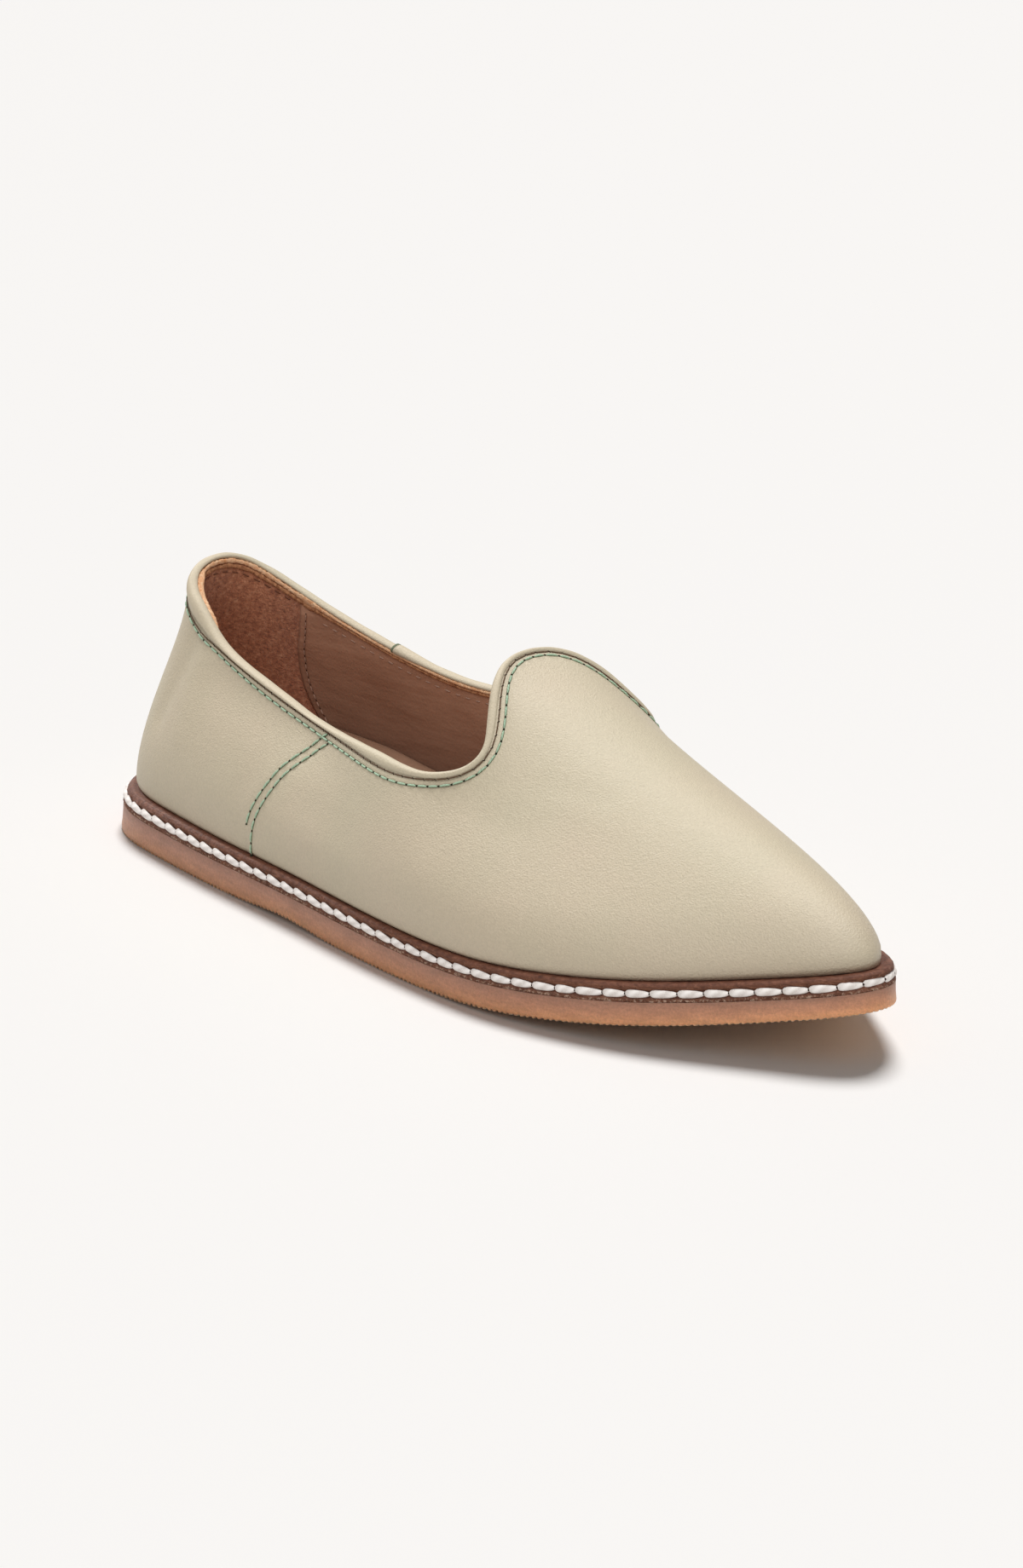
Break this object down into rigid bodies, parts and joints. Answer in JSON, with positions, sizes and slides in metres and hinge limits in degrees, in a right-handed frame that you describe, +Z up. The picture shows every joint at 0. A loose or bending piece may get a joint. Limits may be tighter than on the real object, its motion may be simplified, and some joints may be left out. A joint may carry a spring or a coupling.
{
  "type": "slip-on shoe",
  "caption": "Right slip-on leather shoe with an almond toe, a rolled collar binding, a stitched leather midsole and a gum rubber outsole.",
  "frame": {"origin": "on the floor, under the middle of the shoe's box", "axes": "+X to the toe, +Y to the wearer's left, which is the inner side of a right shoe, +Z up"},
  "size_m": [0.2576, 0.086, 0.069],
  "materials": {
    "gum_rubber": "satin gum rubber",
    "sole_leather": "matt fibrous edge",
    "lining_leather": "smooth lining leather",
    "upper_leather": "satin with fine grain",
    "binding_leather": "satin with fine grain"
  },
  "bodies": {
    "root": {"outsole": "gum_rubber", "midsole": "sole_leather", "insole": "lining_leather", "upper": "upper_leather", "topline_binding": "binding_leather"}
  },
  "joints": []
}
